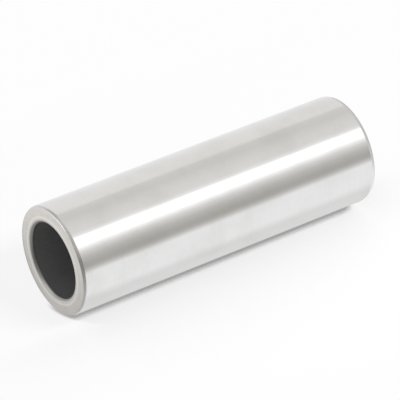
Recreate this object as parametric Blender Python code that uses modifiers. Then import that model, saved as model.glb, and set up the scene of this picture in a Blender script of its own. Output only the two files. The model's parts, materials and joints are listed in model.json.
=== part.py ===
"""Gudgeon pin of a small engine: a ground, hollow steel pin that joins a piston to its connecting rod.

The pin stands on one end face, with its axis along +Z and the origin at the middle of that face.
Lengths are in metres.
"""

import math

import bpy

MM = 0.001

# Driving dimensions
PIN_DIAMETER = 22.0 * MM
PIN_LENGTH = 68.0 * MM
WALL_THICKNESS = 3.45 * MM
OUTER_CHAMFER_DEPTH = 0.38 * MM
OUTER_CHAMFER_LENGTH = 0.55 * MM
OUTER_EDGE_RADIUS = 0.30 * MM
FACE_EDGE_RADIUS = 0.12 * MM
BORE_EDGE_RADIUS = 0.70 * MM

# Fineness of the turned surface and of its rounded edges
TURN_STEPS = 96
ARC_STEPS = 3
MERGE_DISTANCE = 0.01 * MM

# Ground and polished steel
STEEL_COLOUR = (0.60, 0.60, 0.59, 1.0)
STEEL_ROUGHNESS = 0.12
STEEL_METALLIC = 1.0
SHARP_EDGE_ANGLE = math.radians(30)


def clear_scene():
    for old_object in list(bpy.data.objects):
        bpy.data.objects.remove(old_object, do_unlink=True)


def make_collection(name):
    collection = bpy.data.collections.new(name)
    bpy.context.scene.collection.children.link(collection)
    return collection


def ground_steel():
    """Bright, neutral steel, as left by the last grinding pass."""
    material = bpy.data.materials.new("ground_steel")
    material.use_nodes = True
    shader = material.node_tree.nodes["Principled BSDF"]
    shader.inputs["Base Color"].default_value = STEEL_COLOUR
    shader.inputs["Roughness"].default_value = STEEL_ROUGHNESS
    shader.inputs["Metallic"].default_value = STEEL_METALLIC
    material.diffuse_color = STEEL_COLOUR
    return material


def unit_step(start, end):
    """Unit vector from one profile point to another, and the distance between them."""
    step_x = end[0] - start[0]
    step_z = end[1] - start[1]
    length = math.hypot(step_x, step_z)
    return step_x / length, step_z / length, length


def rounded_corner(before, corner, after, radius):
    """Points of the arc that rounds a profile corner, or the corner itself where it stays sharp."""
    if radius == 0.0:
        return [corner]
    back_x, back_z, back_length = unit_step(corner, before)
    on_x, on_z, on_length = unit_step(corner, after)
    half_angle = math.acos(back_x * on_x + back_z * on_z) / 2
    tangent = min(radius / math.tan(half_angle), back_length / 2, on_length / 2)
    centre_distance = tangent / math.cos(half_angle)
    arc_radius = tangent * math.tan(half_angle)
    middle_x, middle_z, _ = unit_step((0.0, 0.0), (back_x + on_x, back_z + on_z))
    centre_x = corner[0] + middle_x * centre_distance
    centre_z = corner[1] + middle_z * centre_distance
    start_angle = math.atan2(corner[1] + back_z * tangent - centre_z, corner[0] + back_x * tangent - centre_x)
    end_angle = math.atan2(corner[1] + on_z * tangent - centre_z, corner[0] + on_x * tangent - centre_x)
    sweep = math.remainder(end_angle - start_angle, 2 * math.pi)
    points = []
    for step in range(ARC_STEPS + 1):
        angle = start_angle + sweep * step / ARC_STEPS
        points.append((centre_x + arc_radius * math.cos(angle), centre_z + arc_radius * math.sin(angle)))
    return points


def end_corners():
    """Corners of the lower end's section, from the ground side to the bore, each with its edge radius."""
    outer = PIN_DIAMETER / 2
    bore = outer - WALL_THICKNESS
    return [
        ((outer, OUTER_CHAMFER_LENGTH), OUTER_EDGE_RADIUS),
        ((outer - OUTER_CHAMFER_DEPTH, 0.0), FACE_EDGE_RADIUS),
        ((bore, 0.0), BORE_EDGE_RADIUS),
    ]


def pin_section():
    """Closed section of the wall: down the ground side, across the lower end and up the bore."""
    lower = end_corners()
    upper = [((x, PIN_LENGTH - z), radius) for (x, z), radius in reversed(lower)]
    corners = lower + upper
    points = []
    for index, (corner, radius) in enumerate(corners):
        before = corners[index - 1][0]
        after = corners[(index + 1) % len(corners)][0]
        points.extend(rounded_corner(before, corner, after, radius))
    return points


def turned_mesh(section):
    """Mesh of a section in the XZ plane swept through a full turn about the Z axis."""
    profile = bpy.data.meshes.new("section")
    edges = [(index, (index + 1) % len(section)) for index in range(len(section))]
    profile.from_pydata([(x, 0.0, z) for x, z in section], edges, [])
    blank = bpy.data.objects.new("section", profile)
    bpy.context.scene.collection.objects.link(blank)
    turn = blank.modifiers.new("turn", 'SCREW')
    turn.axis = 'Z'
    turn.angle = 2 * math.pi
    turn.screw_offset = 0.0
    turn.steps = TURN_STEPS
    turn.render_steps = TURN_STEPS
    turn.use_merge_vertices = True
    turn.merge_threshold = MERGE_DISTANCE
    mesh = bpy.data.meshes.new_from_object(blank.evaluated_get(bpy.context.evaluated_depsgraph_get()))
    bpy.data.objects.remove(blank, do_unlink=True)
    bpy.data.meshes.remove(profile)
    return mesh


def make_gudgeon_pin(collection):
    mesh = turned_mesh(pin_section())
    mesh.name = "gudgeon_pin"
    mesh.materials.clear()
    mesh.materials.append(ground_steel())
    mesh.shade_smooth()
    mesh.set_sharp_from_angle(angle=SHARP_EDGE_ANGLE)
    pin = bpy.data.objects.new("gudgeon_pin", mesh)
    collection.objects.link(pin)
    return pin


def main():
    clear_scene()
    make_gudgeon_pin(make_collection("gudgeon_pin"))


main()
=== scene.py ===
"""Looks of a hollow ground steel gudgeon pin, photographed on white.

The frame stands the pin on its end face, along +Z. The photograph shows it lying down, so the main camera is
rolled: the photograph's floor is the plane that touches the pin's side at +Y, and the photograph's up is -Y.
"""

import json
import math

import bpy
from mathutils import Matrix, Vector

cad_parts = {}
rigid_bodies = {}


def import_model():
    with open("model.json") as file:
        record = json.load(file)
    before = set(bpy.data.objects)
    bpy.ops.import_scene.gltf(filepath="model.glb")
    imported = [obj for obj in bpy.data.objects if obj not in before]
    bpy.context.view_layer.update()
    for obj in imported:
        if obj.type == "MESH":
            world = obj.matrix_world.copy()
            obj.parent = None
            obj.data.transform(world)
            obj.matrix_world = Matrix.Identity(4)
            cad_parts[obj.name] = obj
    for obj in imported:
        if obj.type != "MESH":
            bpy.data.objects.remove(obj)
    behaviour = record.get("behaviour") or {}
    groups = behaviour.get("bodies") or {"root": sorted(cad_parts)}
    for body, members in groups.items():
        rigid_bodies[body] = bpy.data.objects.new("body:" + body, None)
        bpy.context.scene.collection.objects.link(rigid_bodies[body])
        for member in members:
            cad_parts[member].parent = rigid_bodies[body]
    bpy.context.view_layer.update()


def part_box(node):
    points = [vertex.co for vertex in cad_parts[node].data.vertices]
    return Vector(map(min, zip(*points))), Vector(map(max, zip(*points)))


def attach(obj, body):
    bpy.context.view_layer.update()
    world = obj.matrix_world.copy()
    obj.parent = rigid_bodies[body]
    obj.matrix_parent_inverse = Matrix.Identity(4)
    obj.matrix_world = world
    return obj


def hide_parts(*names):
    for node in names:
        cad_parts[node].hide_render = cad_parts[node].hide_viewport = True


MM = 0.001

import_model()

# The pin, in its frame
pin_low, pin_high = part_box("gudgeon_pin")
PIN_LENGTH = pin_high[2] - pin_low[2]
OUTER_RADIUS = (pin_high[0] - pin_low[0]) / 2
WALL = 3.45 * MM
BORE_RADIUS = OUTER_RADIUS - WALL
OUTER_CHAMFER_DEPTH = 0.26 * MM
OUTER_CHAMFER_LENGTH = 0.55 * MM
OUTER_EDGE_RADIUS = 0.25 * MM
FACE_EDGE_RADIUS = 0.12 * MM
BORE_EDGE_RADIUS = 0.70 * MM
BURNISHED_RING_RADIUS = BORE_RADIUS + 1.20 * MM
BURNISHED_RING_WIDTH = 0.35 * MM
MIDDLE = Vector((0.0, 0.0, PIN_LENGTH / 2))

# Fineness of the turned mesh
TURN_STEPS = 360
EDGE_SEGMENTS = 4
BORE_EDGE_SEGMENTS = 10
SAME_PLACE = 0.002 * MM
MERGE_DISTANCE = 0.0005 * MM

# Which finish a face in the outer half of the wall takes, by how far its normal leans along the axis
FACED_LEAN = 0.93
TURNED_LEAN = 0.35

# The span of the lines' noise and of the handling marks' noise, and how much a line changes round the axis
LINES_LOW = 0.3
LINES_HIGH = 0.7
HANDLING_LOW = 0.42
HANDLING_HIGH = 0.68
LINE_WANDER = 1.5

# The finishes: colours of clean and of marked steel, and the roughness over the span of the lines
GROUND_CLEAN = (0.812, 0.812, 0.812, 1.0)
GROUND_MARKED = (0.745, 0.745, 0.738, 1.0)
GROUND_ROUGHNESS = (0.085, 0.11)
GROUND_HANDLED_ROUGHNESS = 0.02
TURNED_CLEAN = (0.74, 0.74, 0.735, 1.0)
TURNED_MARKED = (0.64, 0.64, 0.635, 1.0)
TURNED_ROUGHNESS = (0.30, 0.42)
FACED_CLEAN = (0.715, 0.697, 0.676, 1.0)
FACED_MARKED = (0.616, 0.600, 0.581, 1.0)
FACED_ROUGHNESS = (0.24, 0.34)
FACED_TILT_PER_METRE = 13.0
BURNISHED = (0.815, 0.795, 0.771, 1.0)

# The rounded edge of the bore: dulled just below the end face, and darker from there to the straight bore
BORE_EDGE_CLEAN = (0.72, 0.715, 0.70, 1.0)
BORE_EDGE_MARKED = (0.60, 0.595, 0.58, 1.0)
BORE_EDGE_DULLED = (0.35, 0.341, 0.328, 1.0)
BORE_EDGE_DARK = (0.275, 0.271, 0.265, 1.0)
BORE_EDGE_ROUGHNESS = (0.32, 0.42)
DULLED_FROM = -0.03 * BORE_EDGE_RADIUS
DULLED_TO = 0.09 * BORE_EDGE_RADIUS
DARK_FROM = 0.10 * BORE_EDGE_RADIUS
DARK_TO = BORE_EDGE_RADIUS

# The straight bore: scaled and dark at its mouths and streaked along; further in its colour turns lighter,
# painted light against the shade that falls deep in the bore
MOUTH_CLEAN = (0.278, 0.277, 0.279, 1.0)
MOUTH_MARKED = (0.241, 0.240, 0.242, 1.0)
INSIDE_PAINTED_LIGHT_CLEAN = (0.372, 0.370, 0.374, 1.0)
INSIDE_PAINTED_LIGHT_MARKED = (0.324, 0.322, 0.326, 1.0)
BORE_METALLIC = 0.5
BORE_ROUGHNESS = (0.50, 0.65)
STREAKS_PER_METRE = (1800.0, 1800.0, 90.0)

# The photograph's view: the camera looks down on the lying pin, whose near end points left and towards it
LENS = 300.0
SENSOR = 36.0
LOOK_DOWN = math.radians(34.1)
NEAR_END_TOWARDS_CAMERA = math.radians(34.7)
CAMERA_DISTANCE = 58.49 * OUTER_RADIUS
CAMERA_CLIP_START = 0.05
CAMERA_CLIP_END = 20.0
MIDDLE_RIGHT_OF_CENTRE = 0.0136 * OUTER_RADIUS
MIDDLE_BELOW_CENTRE = 0.0616 * OUTER_RADIUS

# The studio that the steel mirrors, by the angle about the pin's axis, as angle, brightness and warmth: 0 is
# the camera's side, 90 is over the lying pin, 180 is behind it and -90 is its floor
STUDIO_BANDS = [
    (-180.0, 0.90, 0.0),
    (-162.0, 0.92, 0.0),
    (-142.0, 0.87, 0.2),
    (-139.0, 0.66, 0.0),
    (-127.0, 0.70, 0.0),
    (-114.0, 0.79, 0.1),
    (-100.0, 0.82, 0.1),
    (-75.0, 0.83, 0.0),
    (-55.0, 0.98, 0.0),
    (-10.0, 0.97, 0.0),
    (-3.0, 0.66, 0.6),
    (2.0, 0.51, 0.9),
    (6.0, 0.46, 1.0),
    (12.0, 0.47, 1.0),
    (24.0, 0.58, 0.8),
    (35.0, 0.80, 0.6),
    (41.0, 1.04, 0.3),
    (45.0, 1.22, 0.0),
    (49.0, 1.60, 0.0),
    (63.0, 1.60, 0.0),
    (68.0, 0.98, 0.2),
    (75.0, 0.83, 0.4),
    (92.0, 0.78, 0.5),
    (112.0, 0.70, 0.8),
    (127.0, 0.73, 0.8),
    (133.0, 0.86, 0.6),
    (155.0, 0.87, 0.6),
    (170.0, 0.88, 0.4),
    (180.0, 0.90, 0.0),
]
# The same for what lies beyond the near end, which the end face and the rims mirror
STUDIO_END_BANDS = [
    (-180.0, 0.88, 0.3),
    (-160.0, 0.95, 0.3),
    (-120.0, 0.94, 0.3),
    (-90.0, 1.05, 0.0),
    (-60.0, 0.90, 0.0),
    (-40.0, 0.60, 0.4),
    (-25.0, 0.40, 0.6),
    (-12.0, 0.28, 1.0),
    (22.0, 0.22, 1.0),
    (42.0, 0.58, 0.6),
    (60.0, 0.50, 0.6),
    (83.0, 0.58, 0.6),
    (108.0, 0.72, 0.6),
    (134.0, 0.34, 0.8),
    (160.0, 0.76, 0.5),
    (180.0, 0.88, 0.3),
]
WARMTH_RED = 0.035
WARMTH_BLUE = -0.055

# Where, by the z of the direction, the bands give way to what lies beyond each end
STUDIO_NEAR_END_FROM = -0.22
STUDIO_NEAR_END_TO = 0.05
STUDIO_FAR_END_FROM = -0.52
STUDIO_FAR_END_TO = -0.64

# Shades beyond the near end: on the floor, on the floor straight below and straight ahead, with their spans
STUDIO_END_FLOOR_SHADE = 0.70
STUDIO_END_FLOOR_FROM = 0.42
STUDIO_END_FLOOR_TO = 0.70
STUDIO_END_CONTACT_SHADE = 0.75
STUDIO_END_CONTACT_FROM = 0.75
STUDIO_END_CONTACT_TO = 0.95
STUDIO_END_AHEAD_SHADE = 0.70
STUDIO_END_AHEAD_FROM = 0.75
STUDIO_END_AHEAD_TO = 0.95

# A lamp beyond the near end, over the pin and a little behind it, with a soft border
STUDIO_END_LAMP_DIRECTION = Vector((0.43, -0.40, 0.80)).normalized()
STUDIO_END_LAMP_BRIGHTNESS = 1.9
STUDIO_END_LAMP_FROM = 0.90
STUDIO_END_LAMP_TO = 0.97

# Brightness beyond the far end, over the floor and on it
STUDIO_FAR_BRIGHTNESS = 0.69
STUDIO_FAR_FLOOR_BRIGHTNESS = 1.04
STUDIO_FAR_FLOOR_FROM = 0.10
STUDIO_FAR_FLOOR_TO = 0.55

# The even light that matt surfaces get
STUDIO_AMBIENT = 0.50

# The softbox that throws the shadow
SOFTBOX_ANGLE = math.radians(51.0)
SOFTBOX_TOWARDS_NEAR_END = math.radians(-24.0)
SOFTBOX_DISTANCE = 1.0
SOFTBOX_WIDTH = 0.22
SOFTBOX_LENGTH = 0.50
SOFTBOX_POWER = 6.8

# The white sweep under the pin, lit near it and plain white far off
FLOOR_SIZE = 6.0
FLOOR_OWN_LIGHT = 0.035
FLOOR_PALENESS = 1.0
FLOOR_WHITE = 0.985
FLOOR_LIT_TO = 1.2 * OUTER_RADIUS
FLOOR_WHITE_FROM = 6.0 * OUTER_RADIUS
FLOOR_ALONG_SHARE = 0.4
# It also turns white behind the line on which the pin lies, by x, so that the shadow stays narrow
FLOOR_LIT_BEFORE = -0.15 * OUTER_RADIUS
FLOOR_WHITE_BEHIND = 0.25 * OUTER_RADIUS
# And past the near end, by z, on a border that bows with the square of x, but not far in front of the pin
FLOOR_LIT_ALONG = PIN_LENGTH - 0.035 * OUTER_RADIUS
FLOOR_WHITE_BEYOND = PIN_LENGTH + 0.07 * OUTER_RADIUS
FLOOR_SHADOW_END_BOW = 0.60 / OUTER_RADIUS
FLOOR_LIT_IN_FRONT = -1.2 * OUTER_RADIUS
FLOOR_WHITE_AT_RIM = -0.4 * OUTER_RADIUS
FLOOR_SHADOW_KEPT = 0.15


def deselect_all():
    for item in bpy.context.view_layer.objects:
        item.select_set(False)


class Nodes:
    """Short way to add, set and join the nodes of one tree."""

    def __init__(self, tree):
        self.tree = tree
        tree.nodes.clear()

    def add(self, kind, **settings):
        node = self.tree.nodes.new(kind)
        for name, value in settings.items():
            setattr(node, name, value)
        return node

    def join(self, source, target):
        self.tree.links.new(source, target)

    def feed(self, socket, value):
        if isinstance(value, bpy.types.NodeSocket):
            self.join(value, socket)
        else:
            socket.default_value = value

    def math(self, operation, first, second=None):
        node = self.add('ShaderNodeMath', operation=operation)
        self.feed(node.inputs[0], first)
        if second is not None:
            self.feed(node.inputs[1], second)
        return node.outputs[0]

    def remap(self, value, low, high, to_low=0.0, to_high=1.0, smooth=True):
        node = self.add('ShaderNodeMapRange', interpolation_type='SMOOTHSTEP' if smooth else 'LINEAR')
        for socket, given in zip(node.inputs, (value, low, high, to_low, to_high)):
            self.feed(socket, given)
        return node.outputs[0]

    def split(self, vector):
        node = self.add('ShaderNodeSeparateXYZ')
        self.join(vector, node.inputs[0])
        return node.outputs

    def vector_math(self, operation, first, second=None):
        node = self.add('ShaderNodeVectorMath', operation=operation)
        self.feed(node.inputs[0], first)
        if second is not None:
            self.feed(node.inputs[1], second)
        return node.outputs["Value" if operation in ('LENGTH', 'DOT_PRODUCT') else "Vector"]

    def scale(self, vector, factor):
        node = self.add('ShaderNodeVectorMath', operation='SCALE')
        self.feed(node.inputs[0], vector)
        self.feed(node.inputs["Scale"], factor)
        return node.outputs[0]

    def mix_colour(self, factor, first, second):
        node = self.add('ShaderNodeMix', data_type='RGBA')
        self.feed(node.inputs[0], factor)
        self.feed(node.inputs[6], first)
        self.feed(node.inputs[7], second)
        return node.outputs[2]

    def noise(self, vector, detail, roughness):
        node = self.add('ShaderNodeTexNoise')
        self.join(vector, node.inputs["Vector"])
        node.inputs["Scale"].default_value = 1.0
        node.inputs["Detail"].default_value = detail
        node.inputs["Roughness"].default_value = roughness
        return node.outputs[0]

    def white_glow(self, strength):
        node = self.add('ShaderNodeEmission')
        node.inputs["Color"].default_value = grey(1.0)
        node.inputs["Strength"].default_value = strength
        return node.outputs[0]

    def mix_shader(self, factor, first, second):
        node = self.add('ShaderNodeMixShader')
        for socket, source in zip(node.inputs, (factor, first, second)):
            self.join(source, socket)
        return node.outputs[0]


def grey(level):
    return (level, level, level, 1.0)


def warm_grey(level, warmth):
    return (level * (1.0 + WARMTH_RED * warmth), level, level * (1.0 + WARMTH_BLUE * warmth), 1.0)


def object_place(n):
    return n.add('ShaderNodeTexCoord').outputs["Object"]


def square_of_radius(n, x, y):
    return n.math('ADD', n.math('MULTIPLY', x, x), n.math('MULTIPLY', y, y))


def depth_from_end(n, height):
    """Distance from the nearer end face, along the axis."""
    return n.math('MINIMUM', height, n.math('SUBTRACT', PIN_LENGTH, height))


def new_group(name, inputs, outputs):
    """Shader node group with value inputs, given as name and default, and value outputs, given as names."""
    tree = bpy.data.node_groups.new(name, 'ShaderNodeTree')
    for socket_name, default in inputs:
        socket = tree.interface.new_socket(socket_name, in_out='INPUT', socket_type='NodeSocketFloat')
        socket.default_value = default
    for socket_name in outputs:
        tree.interface.new_socket(socket_name, in_out='OUTPUT', socket_type='NodeSocketFloat')
    return tree


def make_round_lines_group():
    """Fine lines round the axis: ground marks by height on a side, tool marks by radius on an end."""
    tree = new_group("round_lines", [("Lines per mm", 10.0), ("Radial", 0.0)], ["Lines"])
    n = Nodes(tree)
    given = n.add('NodeGroupInput')
    radial = given.outputs["Radial"]
    x, y, z = n.split(object_place(n))
    radius = n.math('SQRT', square_of_radius(n, x, y))
    by_radius = n.math('MULTIPLY', radius, radial)
    by_height = n.math('MULTIPLY', z, n.math('SUBTRACT', 1.0, radial))
    lines_per_metre = n.math('MULTIPLY', given.outputs["Lines per mm"], 1.0 / MM)
    place_on_line = n.add('ShaderNodeCombineXYZ')
    n.join(n.math('MULTIPLY', n.math('DIVIDE', x, radius), LINE_WANDER), place_on_line.inputs[0])
    n.join(n.math('MULTIPLY', n.math('DIVIDE', y, radius), LINE_WANDER), place_on_line.inputs[1])
    across_lines = n.math('MULTIPLY', n.math('ADD', by_radius, by_height), lines_per_metre)
    n.join(across_lines, place_on_line.inputs[2])
    lines = n.noise(place_on_line.outputs[0], detail=4.0, roughness=0.65)
    out = n.add('NodeGroupOutput')
    n.join(lines, out.inputs["Lines"])
    return tree


def make_handling_group():
    """Soft cloudy marks of handling and wiping, uneven over the whole piece."""
    tree = new_group("handling_marks", [("Size mm", 8.0)], ["Marks"])
    n = Nodes(tree)
    given = n.add('NodeGroupInput')
    clouds_per_metre = n.math('DIVIDE', 1.0 / MM, given.outputs["Size mm"])
    cloud = n.noise(n.scale(object_place(n), clouds_per_metre), detail=5.0, roughness=0.6)
    out = n.add('NodeGroupOutput')
    n.join(n.remap(cloud, HANDLING_LOW, HANDLING_HIGH), out.inputs["Marks"])
    return tree


def place_group(n, tree, **values):
    node = n.add('ShaderNodeGroup', node_tree=tree)
    for name, value in values.items():
        node.inputs[name.replace("_", " ")].default_value = value
    return node.outputs[0]


def start_material(name, metallic=1.0):
    material = bpy.data.materials.new(name)
    material.use_nodes = True
    n = Nodes(material.node_tree)
    shader = n.add('ShaderNodeBsdfPrincipled')
    shader.inputs["Metallic"].default_value = metallic
    out = n.add('ShaderNodeOutputMaterial')
    n.join(shader.outputs[0], out.inputs[0])
    return material, n, shader


def wear(n, lines, marks, line_share):
    """How marked the steel is, from its lines and for the rest from its handling."""
    from_lines = n.remap(lines, LINES_LOW, LINES_HIGH, 0.0, line_share)
    return n.math('ADD', from_lines, n.math('MULTIPLY', marks, 1.0 - line_share))


def roughness_by_lines(n, lines, span):
    return n.remap(lines, LINES_LOW, LINES_HIGH, *span)


def add_crown(n, tilt_per_metre):
    """Normal of a face that is crowned a little, so that its tilt grows with the distance from the axis."""
    x, y, _ = n.split(object_place(n))
    crown = n.add('ShaderNodeBump')
    crown.inputs["Strength"].default_value = 1.0
    crown.inputs["Distance"].default_value = 1.0
    n.join(n.math('MULTIPLY', square_of_radius(n, x, y), -tilt_per_metre / 2), crown.inputs["Height"])
    return crown.outputs[0]


def add_bump(n, shader, height, strength, distance, normal=None):
    bump = n.add('ShaderNodeBump')
    if normal is not None:
        n.join(normal, bump.inputs["Normal"])
    bump.inputs["Strength"].default_value = strength
    bump.inputs["Distance"].default_value = distance
    n.join(height, bump.inputs["Height"])
    n.join(bump.outputs[0], shader.inputs["Normal"])


def make_ground_steel(round_lines, handling):
    """The ground and polished outside: nearly a mirror, with the finest marks round it."""
    material, n, shader = start_material("ground_side")
    lines = place_group(n, round_lines, Lines_per_mm=9.0)
    marks = place_group(n, handling, Size_mm=9.0)
    steel = n.mix_colour(wear(n, lines, marks, line_share=0.3), GROUND_CLEAN, GROUND_MARKED)
    n.join(steel, shader.inputs["Base Color"])
    handled = n.math('MULTIPLY', marks, GROUND_HANDLED_ROUGHNESS)
    roughness = n.math('ADD', roughness_by_lines(n, lines, GROUND_ROUGHNESS), handled)
    n.join(roughness, shader.inputs["Roughness"])
    add_bump(n, shader, lines, strength=0.15, distance=0.002 * MM)
    return material


def make_turned_edge(round_lines, handling):
    """The turned chamfer at each end's rim, left duller than the ground side."""
    material, n, shader = start_material("turned_edge")
    lines = place_group(n, round_lines, Lines_per_mm=14.0)
    marks = place_group(n, handling, Size_mm=3.0)
    steel = n.mix_colour(wear(n, lines, marks, line_share=0.7), TURNED_CLEAN, TURNED_MARKED)
    n.join(steel, shader.inputs["Base Color"])
    n.join(roughness_by_lines(n, lines, TURNED_ROUGHNESS), shader.inputs["Roughness"])
    add_bump(n, shader, lines, strength=0.4, distance=0.006 * MM)
    return material


def make_faced_end(round_lines, handling):
    """The end face, with the rings that the facing tool left and a burnished ring."""
    material, n, shader = start_material("faced_end")
    lines = place_group(n, round_lines, Lines_per_mm=5.0, Radial=1.0)
    marks = place_group(n, handling, Size_mm=2.5)
    steel = n.mix_colour(wear(n, lines, marks, line_share=0.6), FACED_CLEAN, FACED_MARKED)
    x, y, _ = n.split(object_place(n))
    radius = n.math('SQRT', square_of_radius(n, x, y))
    from_ring = n.math('ABSOLUTE', n.math('SUBTRACT', radius, BURNISHED_RING_RADIUS))
    burnished = n.remap(from_ring, BURNISHED_RING_WIDTH, 0.0)
    n.join(n.mix_colour(burnished, steel, BURNISHED), shader.inputs["Base Color"])
    n.join(roughness_by_lines(n, lines, FACED_ROUGHNESS), shader.inputs["Roughness"])
    crown = add_crown(n, FACED_TILT_PER_METRE)
    add_bump(n, shader, lines, strength=0.5, distance=0.010 * MM, normal=crown)
    return material


def make_bore_edge(round_lines, handling):
    """The rounded edge of the bore, where the dark of the bore thins out towards the bright end face."""
    material, n, shader = start_material("bore_edge")
    _, _, height = n.split(object_place(n))
    depth = depth_from_end(n, height)
    lines = place_group(n, round_lines, Lines_per_mm=12.0)
    marks = place_group(n, handling, Size_mm=3.0)
    steel = n.mix_colour(wear(n, lines, marks, line_share=0.6), BORE_EDGE_CLEAN, BORE_EDGE_MARKED)
    dulled = n.mix_colour(n.remap(depth, DULLED_FROM, DULLED_TO), steel, BORE_EDGE_DULLED)
    darkness = n.remap(depth, DARK_FROM, DARK_TO, smooth=False)
    n.join(n.mix_colour(darkness, dulled, BORE_EDGE_DARK), shader.inputs["Base Color"])
    n.join(roughness_by_lines(n, lines, BORE_EDGE_ROUGHNESS), shader.inputs["Roughness"])
    add_bump(n, shader, lines, strength=0.4, distance=0.006 * MM)
    return material


def make_dark_bore(handling):
    """The bore, dark and dull from forming and heat treatment, and never ground; lighter further in as
    painted light against the shade deep in the bore.
    """
    material, n, shader = start_material("dark_bore", BORE_METALLIC)
    place = object_place(n)
    stretch = n.add('ShaderNodeMapping')
    n.join(place, stretch.inputs["Vector"])
    stretch.inputs["Scale"].default_value = STREAKS_PER_METRE
    streaks = n.noise(stretch.outputs[0], detail=4.0, roughness=0.6)
    marks = place_group(n, handling, Size_mm=4.0)
    marked = wear(n, streaks, marks, line_share=0.5)
    mouth = n.mix_colour(marked, MOUTH_CLEAN, MOUTH_MARKED)
    # painted light: further in, the bore's colour turns lighter than at its mouth, against the shade that
    # falls deep in the bore
    inside = n.mix_colour(marked, INSIDE_PAINTED_LIGHT_CLEAN, INSIDE_PAINTED_LIGHT_MARKED)
    _, _, height = n.split(place)
    painted_light_inwards = n.remap(depth_from_end(n, height), BORE_EDGE_RADIUS, BORE_RADIUS, smooth=False)
    n.join(n.mix_colour(painted_light_inwards, mouth, inside), shader.inputs["Base Color"])
    n.join(roughness_by_lines(n, streaks, BORE_ROUGHNESS), shader.inputs["Roughness"])
    add_bump(n, shader, streaks, strength=0.5, distance=0.02 * MM)
    return material


def near(value, target):
    return abs(value - target) < SAME_PLACE


def select_corners(section, places):
    """Select, in edit mode, the corners of the section at these places, given as radius and height."""
    bpy.ops.object.mode_set(mode='OBJECT')
    for vertex in section.data.vertices:
        x, _, z = vertex.co
        vertex.select = any(near(x, radius) and near(z, height) for radius, height in places)
    for edge in section.data.edges:
        edge.select = False
    for face in section.data.polygons:
        face.select = False
    bpy.ops.object.mode_set(mode='EDIT')


def slide_corner(section, place, step):
    """Move one corner of the section up by this step."""
    select_corners(section, [place])
    bpy.ops.transform.translate(value=(0.0, 0.0, step))


def bevel_corners(section, places, width, segments):
    """Bevel the corners of the section that lie at these places."""
    select_corners(section, places)
    bpy.ops.mesh.bevel(offset_type='OFFSET', offset=width, segments=segments, profile=0.5, affect='VERTICES')


def both_ends(radius, height):
    """A place at this height above the lower end, and the same place at the upper end."""
    return [(radius, height), (radius, PIN_LENGTH - height)]


def lengthen_chamfers(section):
    """Slide the side's corners of both chamfers, which a bevel leaves as long as they are deep."""
    lower, upper = both_ends(OUTER_RADIUS, OUTER_CHAMFER_DEPTH)
    slide_corner(section, lower, OUTER_CHAMFER_LENGTH - OUTER_CHAMFER_DEPTH)
    slide_corner(section, upper, OUTER_CHAMFER_DEPTH - OUTER_CHAMFER_LENGTH)


def make_pin_mesh():
    """The section of the wall, with chamfered and eased corners, spun round the pin's axis."""
    deselect_all()
    bpy.ops.mesh.primitive_plane_add(
        size=1.0,
        location=(OUTER_RADIUS - WALL / 2, 0.0, PIN_LENGTH / 2),
        rotation=(math.pi / 2, 0.0, 0.0),
    )
    pin = bpy.context.active_object
    pin.name = "gudgeon_pin_body"
    pin.data.name = "gudgeon_pin_body"
    pin.scale = (WALL, PIN_LENGTH, 1.0)
    bpy.ops.object.transform_apply(location=True, rotation=True, scale=True)
    bpy.ops.object.mode_set(mode='EDIT')
    bpy.ops.mesh.select_mode(type='VERT')
    bevel_corners(pin, both_ends(OUTER_RADIUS, 0.0), OUTER_CHAMFER_DEPTH, 1)
    lengthen_chamfers(pin)
    bevel_corners(pin, both_ends(BORE_RADIUS, 0.0), BORE_EDGE_RADIUS, BORE_EDGE_SEGMENTS)
    bevel_corners(pin, both_ends(OUTER_RADIUS, OUTER_CHAMFER_LENGTH), OUTER_EDGE_RADIUS, EDGE_SEGMENTS)
    bevel_corners(pin, both_ends(OUTER_RADIUS - OUTER_CHAMFER_DEPTH, 0.0), FACE_EDGE_RADIUS, EDGE_SEGMENTS)
    bpy.ops.mesh.select_all(action='SELECT')
    bpy.ops.mesh.delete(type='ONLY_FACE')
    bpy.ops.mesh.select_all(action='SELECT')
    bpy.ops.mesh.spin(
        steps=TURN_STEPS, dupli=False, angle=2 * math.pi, center=(0.0, 0.0, 0.0), axis=(0.0, 0.0, 1.0))
    bpy.ops.mesh.select_all(action='SELECT')
    bpy.ops.mesh.remove_doubles(threshold=MERGE_DISTANCE)
    bpy.ops.mesh.normals_make_consistent(inside=False)
    bpy.ops.object.mode_set(mode='OBJECT')
    bpy.ops.object.shade_smooth()
    weigh = pin.modifiers.new("weigh_normals", 'WEIGHTED_NORMAL')
    weigh.mode = 'FACE_AREA'
    weigh.weight = 100
    weigh.keep_sharp = True
    bpy.ops.object.modifier_apply(modifier=weigh.name)
    return pin


def finish_faces(pin, ground_side, turned_edge, faced_end, bore_edge, dark_bore):
    """Give each face of the pin the finish of the surface it belongs to."""
    finishes = [ground_side, turned_edge, faced_end, bore_edge, dark_bore]
    for material in finishes:
        pin.data.materials.append(material)
    middle_of_wall = (OUTER_RADIUS + BORE_RADIUS) / 2
    for face in pin.data.polygons:
        radius = math.hypot(face.center.x, face.center.y)
        depth = min(face.center.z, PIN_LENGTH - face.center.z)
        lean = abs(face.normal.z)
        if radius > middle_of_wall and lean > FACED_LEAN:
            finish = faced_end
        elif radius > middle_of_wall and lean > TURNED_LEAN:
            finish = turned_edge
        elif radius > middle_of_wall:
            finish = ground_side
        elif depth > BORE_EDGE_RADIUS:
            finish = dark_bore
        elif radius < BORE_RADIUS + BORE_EDGE_RADIUS:
            finish = bore_edge
        else:
            finish = faced_end
        face.material_index = finishes.index(finish)


def make_floor(name, location, turn, material):
    """Flat stage surface that only the camera sees."""
    deselect_all()
    bpy.ops.mesh.primitive_plane_add(size=FLOOR_SIZE, location=location, rotation=turn)
    floor = bpy.context.active_object
    floor.name = name
    floor.data.materials.append(material)
    floor.visible_diffuse = False
    floor.visible_glossy = False
    floor.visible_transmission = False
    floor.visible_shadow = False


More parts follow.
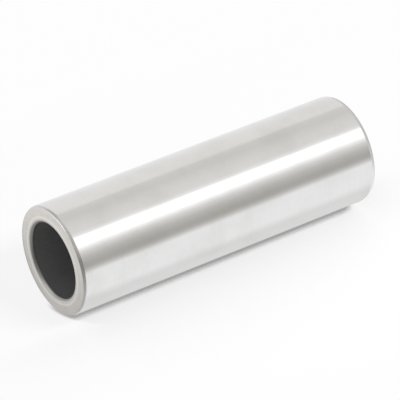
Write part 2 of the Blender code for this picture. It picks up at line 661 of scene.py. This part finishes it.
def white_share(n, position):
    """How far the floor is plain white, by the place on it."""
    from_middle = n.vector_math('SUBTRACT', position, MIDDLE)
    shortened = n.vector_math('MULTIPLY', from_middle, (1.0, 1.0, FLOOR_ALONG_SHARE))
    far_off = n.remap(n.vector_math('LENGTH', shortened), FLOOR_LIT_TO, FLOOR_WHITE_FROM)
    x, _, z = n.split(position)
    behind = n.remap(x, FLOOR_LIT_BEFORE, FLOOR_WHITE_BEHIND)
    bowed = n.math('MULTIPLY', n.math('MULTIPLY', x, x), FLOOR_SHADOW_END_BOW)
    past_end = n.remap(n.math('ADD', z, bowed), FLOOR_LIT_ALONG, FLOOR_WHITE_BEYOND)
    beyond = n.math('MULTIPLY', past_end, n.remap(x, FLOOR_LIT_IN_FRONT, FLOOR_WHITE_AT_RIM))
    out_of_shadow = n.math('MULTIPLY', n.math('MAXIMUM', behind, beyond), 1.0 - FLOOR_SHADOW_KEPT)
    return n.math('MAXIMUM', far_off, out_of_shadow)


def make_floor_material():
    """White sweep: it keeps the pin's shadow, is plain white far off and can't be seen from behind."""
    material = bpy.data.materials.new("white_sweep")
    material.use_nodes = True
    n = Nodes(material.node_tree)
    geometry = n.add('ShaderNodeNewGeometry')
    matt = n.add('ShaderNodeBsdfDiffuse')
    matt.inputs["Color"].default_value = grey(FLOOR_PALENESS)
    near_pin = n.add('ShaderNodeAddShader')
    n.join(matt.outputs[0], near_pin.inputs[0])
    n.join(n.white_glow(FLOOR_OWN_LIGHT), near_pin.inputs[1])
    white = n.white_glow(FLOOR_WHITE)
    sweep = n.mix_shader(white_share(n, geometry.outputs["Position"]), near_pin.outputs[0], white)
    clear = n.add('ShaderNodeBsdfTransparent')
    one_sided = n.mix_shader(geometry.outputs["Backfacing"], sweep, clear.outputs[0])
    out = n.add('ShaderNodeOutputMaterial')
    n.join(one_sided, out.inputs[0])
    return material


def add_bands(n, share, bands):
    """Colour ramp of the studio's bands, each given as an angle, a brightness and a warmth."""
    ramp = n.add('ShaderNodeValToRGB')
    n.join(share, ramp.inputs[0])
    stops = ramp.color_ramp.elements
    while len(stops) > 1:
        stops.remove(stops[-1])
    first_angle, first_brightness, first_warmth = bands[0]
    stops[0].position = first_angle / 360 + 0.5
    stops[0].color = warm_grey(first_brightness, first_warmth)
    for band_angle, brightness, warmth in bands[1:]:
        stop = stops.new(band_angle / 360 + 0.5)
        stop.color = warm_grey(brightness, warmth)
    return ramp.outputs[0]


def beyond_near_end(n, direction, open_end, y, z):
    """What the near end mirrors: its bands, shaded on the floor and straight ahead, and a lamp."""
    floor = n.remap(y, STUDIO_END_FLOOR_FROM, STUDIO_END_FLOOR_TO, 1.0, STUDIO_END_FLOOR_SHADE)
    contact = n.remap(y, STUDIO_END_CONTACT_FROM, STUDIO_END_CONTACT_TO, 1.0, STUDIO_END_CONTACT_SHADE)
    ahead = n.remap(z, STUDIO_END_AHEAD_FROM, STUDIO_END_AHEAD_TO, 1.0, STUDIO_END_AHEAD_SHADE)
    shade = n.math('MULTIPLY', n.math('MULTIPLY', floor, contact), ahead)
    towards_lamp = n.vector_math('DOT_PRODUCT', direction, STUDIO_END_LAMP_DIRECTION)
    lamp = n.remap(towards_lamp, STUDIO_END_LAMP_FROM, STUDIO_END_LAMP_TO)
    return n.mix_colour(lamp, n.scale(open_end, shade), grey(STUDIO_END_LAMP_BRIGHTNESS))


def beyond_far_end(n, y):
    """What the far end mirrors: a plain brightness over the floor, and another on it."""
    floor = n.remap(y, STUDIO_FAR_FLOOR_FROM, STUDIO_FAR_FLOOR_TO)
    return n.mix_colour(floor, grey(STUDIO_FAR_BRIGHTNESS), grey(STUDIO_FAR_FLOOR_BRIGHTNESS))


def make_world():
    """White to the camera, a studio of soft bands to the steel, and an even light for the shadows."""
    world = bpy.data.worlds.new("studio")
    bpy.context.scene.world = world
    world.use_nodes = True
    world.cycles.sampling_method = 'NONE'
    n = Nodes(world.node_tree)
    direction = n.add('ShaderNodeTexCoord').outputs["Generated"]
    x, y, z = n.split(direction)
    angle = n.math('ARCTAN2', n.math('MULTIPLY', y, -1.0), n.math('MULTIPLY', x, -1.0))
    share = n.math('ADD', n.math('DIVIDE', angle, 2 * math.pi), 0.5)
    beside = add_bands(n, share, STUDIO_BANDS)
    open_end = add_bands(n, share, STUDIO_END_BANDS)
    near_end = beyond_near_end(n, direction, open_end, y, z)
    mirrored = n.mix_colour(n.remap(z, STUDIO_NEAR_END_FROM, STUDIO_NEAR_END_TO), beside, near_end)
    far_end = beyond_far_end(n, y)
    mirrored = n.mix_colour(n.remap(z, STUDIO_FAR_END_FROM, STUDIO_FAR_END_TO), mirrored, far_end)
    rays = n.add('ShaderNodeLightPath')
    no_matt_bounce = n.math('LESS_THAN', rays.outputs["Diffuse Depth"], 0.5)
    in_steel = n.math('MULTIPLY', rays.outputs["Is Glossy Ray"], no_matt_bounce)
    seen = n.mix_colour(in_steel, grey(STUDIO_AMBIENT), mirrored)
    white_to = n.math('MAXIMUM', rays.outputs["Is Camera Ray"], rays.outputs["Is Transmission Ray"])
    light = n.mix_colour(white_to, seen, grey(1.0))
    background = n.add('ShaderNodeBackground')
    n.join(light, background.inputs["Color"])
    out = n.add('ShaderNodeOutputWorld')
    n.join(background.outputs[0], out.inputs[0])


def make_softbox():
    """Long soft lamp over the camera's side of the lying pin."""
    data = bpy.data.lights.new("softbox", 'AREA')
    data.shape = 'RECTANGLE'
    data.size = SOFTBOX_LENGTH
    data.size_y = SOFTBOX_WIDTH
    data.energy = SOFTBOX_POWER
    lamp = bpy.data.objects.new("softbox", data)
    bpy.context.scene.collection.objects.link(lamp)
    towards = Vector((
        -math.cos(SOFTBOX_ANGLE) * math.cos(SOFTBOX_TOWARDS_NEAR_END),
        -math.sin(SOFTBOX_ANGLE) * math.cos(SOFTBOX_TOWARDS_NEAR_END),
        math.sin(SOFTBOX_TOWARDS_NEAR_END),
    ))
    across = towards.cross(Vector((0.0, 0.0, 1.0))).normalized()
    along = across.cross(towards)
    turn = Matrix((along, across, towards)).transposed().to_4x4()
    lamp.matrix_world = Matrix.Translation(MIDDLE + towards * SOFTBOX_DISTANCE) @ turn
    lamp.visible_glossy = False
    lamp.visible_camera = False


def make_camera():
    """The photograph's view of the lying pin, with the photograph's up towards -Y."""
    data = bpy.data.cameras.new("camera")
    data.lens = LENS
    data.sensor_width = SENSOR
    data.clip_start = CAMERA_CLIP_START
    data.clip_end = CAMERA_CLIP_END
    camera = bpy.data.objects.new("camera", data)
    bpy.context.scene.collection.objects.link(camera)
    back = Vector((
        -math.cos(LOOK_DOWN) * math.cos(NEAR_END_TOWARDS_CAMERA),
        -math.sin(LOOK_DOWN),
        math.cos(LOOK_DOWN) * math.sin(NEAR_END_TOWARDS_CAMERA),
    ))
    right = Vector((-math.sin(NEAR_END_TOWARDS_CAMERA), 0.0, -math.cos(NEAR_END_TOWARDS_CAMERA)))
    up = back.cross(right)
    turn = Matrix((right, up, back)).transposed().to_4x4()
    aim = MIDDLE - right * MIDDLE_RIGHT_OF_CENTRE + up * MIDDLE_BELOW_CENTRE
    camera.matrix_world = Matrix.Translation(aim + back * CAMERA_DISTANCE) @ turn
    bpy.context.scene.camera = camera


def make_stage():
    white_sweep = make_floor_material()
    make_floor("lying_floor", (0.0, OUTER_RADIUS, 0.0), (math.pi / 2, 0.0, 0.0), white_sweep)


def make_pin():
    round_lines = make_round_lines_group()
    handling = make_handling_group()
    pin = make_pin_mesh()
    finish_faces(
        pin,
        make_ground_steel(round_lines, handling),
        make_turned_edge(round_lines, handling),
        make_faced_end(round_lines, handling),
        make_bore_edge(round_lines, handling),
        make_dark_bore(handling),
    )
    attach(pin, "root")
    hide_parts("gudgeon_pin")


make_camera()
make_world()
make_softbox()
make_stage()
make_pin()
bpy.context.scene.view_settings.view_transform = 'Standard'
